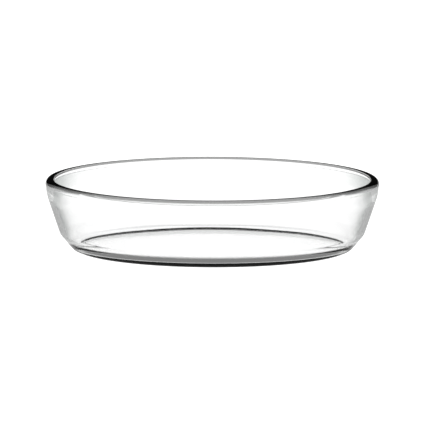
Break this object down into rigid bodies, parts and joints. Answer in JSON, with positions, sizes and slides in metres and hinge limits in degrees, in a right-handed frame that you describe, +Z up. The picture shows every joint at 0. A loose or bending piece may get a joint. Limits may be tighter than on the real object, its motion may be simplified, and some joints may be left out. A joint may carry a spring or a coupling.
{
  "type": "oval glass dish",
  "caption": "Clear pressed-glass oval dish with a flat base, rounded heel, flaring wall and thick rounded rim.",
  "frame": {"origin": "centre of the flat base, on the surface that the dish stands on", "axes": "+X along the dish's length, +Y along its width, +Z up out of the open mouth"},
  "size_m": [0.3, 0.21, 0.0645],
  "materials": {
    "glass": "clear, fire-polished"
  },
  "bodies": {
    "root": {"dish": "glass"}
  },
  "joints": []
}
